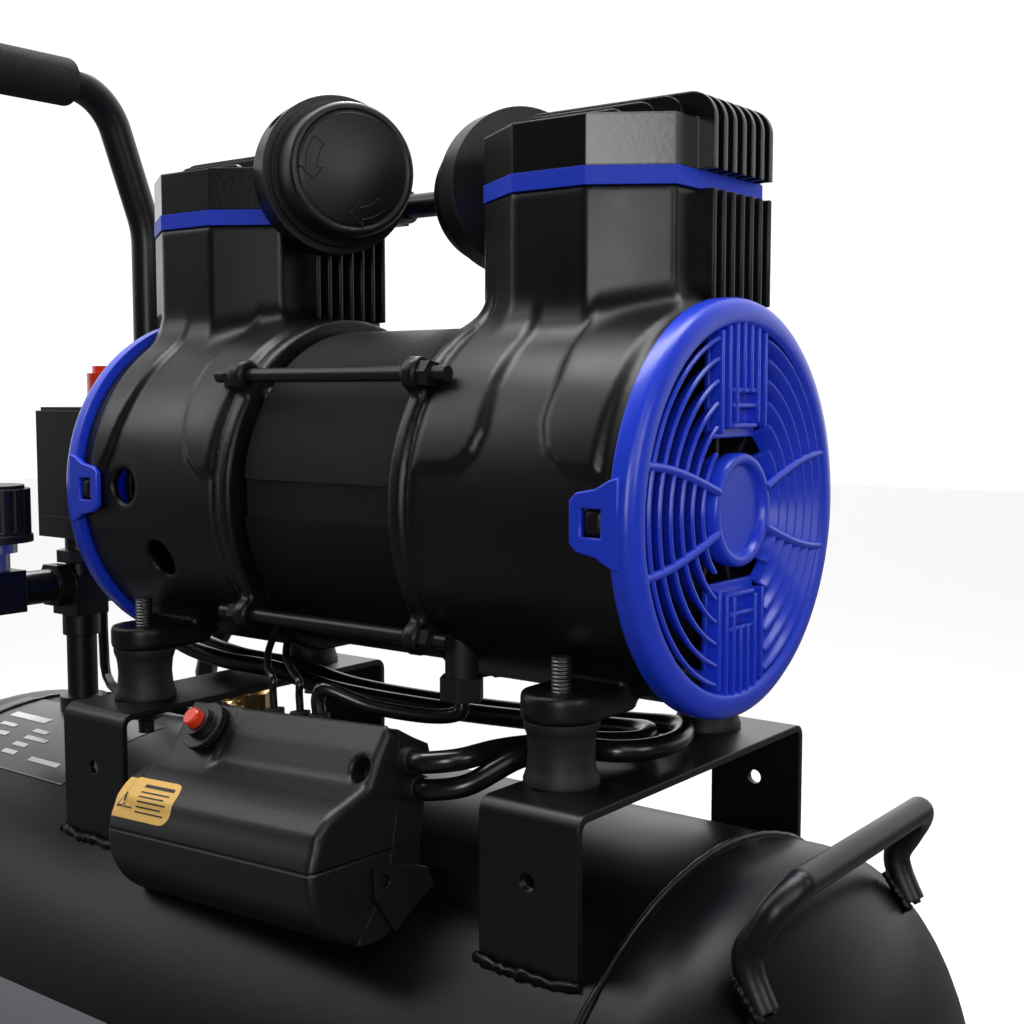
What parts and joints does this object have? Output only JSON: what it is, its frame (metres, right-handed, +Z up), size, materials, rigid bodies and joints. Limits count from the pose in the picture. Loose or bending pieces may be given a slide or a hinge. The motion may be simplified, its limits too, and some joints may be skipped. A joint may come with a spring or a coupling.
{
  "type": "air compressor",
  "caption": "Oil-free air compressor: a horizontal receiver tank on wheels and feet, carrying a motor with a finned cylinder head and air filter at each end.",
  "frame": {"origin": "centre of the outline, on the ground", "axes": "+X along the tank towards the wheels, +Y to the back, +Z up"},
  "size_m": [0.64, 0.35, 0.8027],
  "materials": {
    "tank_paint": "semi-gloss black paint",
    "frame_paint": "satin black paint",
    "foam": "soft black foam",
    "steel": "bright zinc",
    "rubber": "matt black",
    "tyre": "matt black with moulded hub",
    "brass": "machined",
    "pipe_black": "black",
    "casting": "satin black casting",
    "black_plastic": "fine grain",
    "tube_metal": "dark satin tube",
    "crankcase_paint": "satin black paint over a casting",
    "head_paint": "satin black paint over a casting",
    "aluminium": "machined",
    "blue_paint": "gloss blue",
    "blue_plastic": "semi-gloss blue",
    "filter_felt": "felt",
    "laminations": "blackened stacked sheet",
    "copper": "varnished copper wire",
    "capacitor_case": "smooth",
    "cable": "smooth black sheath",
    "red_plastic": "bright orange red"
  },
  "bodies": {
    "compressor": {"tank_shell": "tank_paint", "tank_ends": "tank_paint", "saddle_bracket_left": "frame_paint", "saddle_bracket_right": "frame_paint", "carry_handle": "frame_paint", "push_handle": "frame_paint", "handle_grip": "foam", "wheel_bracket": "tank_paint", "wheel_axle": "steel", "foot_bracket": "tank_paint", "rubber_feet": "rubber", "drain_valve_body": "brass", "pipe_nipple": "pipe_black", "check_valve": "brass", "air_manifold": "casting", "switch_base": "black_plastic", "switch_cover": "black_plastic", "regulator_body": "casting", "gauge_cases": "black_plastic", "coupler_body": "steel", "relief_valve_body": "brass", "delivery_tubes": "tube_metal", "rubber_mounts": "rubber", "mount_hardware": "steel", "crankcase_left": "crankcase_paint", "crankcase_right": "crankcase_paint", "cylinder_sleeves": "aluminium", "pistons": "aluminium", "valve_plates": "blue_paint", "cylinder_head_left": "head_paint", "cylinder_head_right": "head_paint", "filter_bases": "black_plastic", "filter_elements": "filter_felt", "fan_cover_left": "blue_plastic", "fan_cover_right": "blue_plastic", "stator_core": "laminations", "stator_windings": "copper", "tie_rods": "steel", "shaft_bearings": "steel", "capacitor_box_base": "black_plastic", "capacitor_box_cover": "black_plastic", "capacitors": "capacitor_case", "button_collar": "black_plastic", "wiring": "cable", "cable_glands": "black_plastic"},
    "shaft": {"motor_shaft": "steel", "rotor_core": "laminations", "cooling_fans": "black_plastic"},
    "front_wheel": {"wheel_front": "tyre"},
    "rear_wheel": {"wheel_rear": "tyre"},
    "left_filter_cap": {"filter_cap_left": "black_plastic"},
    "right_filter_cap": {"filter_cap_right": "black_plastic"},
    "overload_button": {"reset_button": "red_plastic"},
    "switch_lift_knob": {"switch_knob": "red_plastic"},
    "pressure_knob": {"regulator_knob": "black_plastic"},
    "safety_ring": {"relief_ring": "steel"},
    "plug_sleeve": {"coupler_sleeve": "brass"},
    "drain_screw": {"drain_knob": "black_plastic"},
    "tank_needle": {"gauge_needle_tank": "red_plastic"},
    "outlet_needle": {"gauge_needle_outlet": "red_plastic"}
  },
  "joints": [
    {"name": "shaft_spin", "type": "hinge", "parent": "compressor", "child": "shaft", "pos_m": [0.0625, 0.012, 0.548], "axis": [1, 0, 0], "continuous": true},
    {"name": "front_wheel_spin", "type": "hinge", "parent": "compressor", "child": "front_wheel", "pos_m": [0.15, -0.15, 0.075], "axis": [0, 1, 0], "continuous": true},
    {"name": "rear_wheel_spin", "type": "hinge", "parent": "compressor", "child": "rear_wheel", "pos_m": [0.15, 0.15, 0.075], "axis": [0, 1, 0], "continuous": true},
    {"name": "left_cap_turn", "type": "hinge", "parent": "compressor", "child": "left_filter_cap", "pos_m": [-0.02, 0.025, 0.702], "axis": [0.9063, -0.4226, 0], "range_deg": [0, 30]},
    {"name": "right_cap_turn", "type": "hinge", "parent": "compressor", "child": "right_filter_cap", "pos_m": [0.1085, 0.036, 0.689], "axis": [-0.9063, 0.4226, 0], "range_deg": [0, 30]},
    {"name": "button_press", "type": "slide", "parent": "compressor", "child": "overload_button", "axis": [-0.1132, -0.7592, 0.6409], "range_m": [-0.0025, 0], "stiffness_N_per_m": 400},
    {"name": "switch_lift", "type": "slide", "parent": "compressor", "child": "switch_lift_knob", "axis": [0, 0, 1], "range_m": [0, 0.008]},
    {"name": "pressure_turn", "type": "hinge", "parent": "compressor", "child": "pressure_knob", "pos_m": [-0.19, -0.059, 0.53], "axis": [0, 0, 1], "range_deg": [-180, 180]},
    {"name": "safety_pull", "type": "slide", "parent": "compressor", "child": "safety_ring", "axis": [0, 1, 0], "range_m": [0, 0.003], "stiffness_N_per_m": 500},
    {"name": "sleeve_slide", "type": "slide", "parent": "compressor", "child": "plug_sleeve", "axis": [0, 1, 0], "range_m": [0, 0.003], "stiffness_N_per_m": 600},
    {"name": "drain_turn", "type": "hinge", "parent": "compressor", "child": "drain_screw", "pos_m": [-0.04, 0, 0.052], "axis": [0, 0, 1], "range_deg": [0, 180]},
    {"name": "tank_needle_turn", "type": "hinge", "parent": "compressor", "child": "tank_needle", "pos_m": [-0.222, -0.059, 0.486], "axis": [1, 0, 0], "range_deg": [0, 270]},
    {"name": "outlet_needle_turn", "type": "hinge", "parent": "compressor", "child": "outlet_needle", "pos_m": [-0.222, -0.105, 0.486], "axis": [1, 0, 0], "range_deg": [0, 270]}
  ]
}
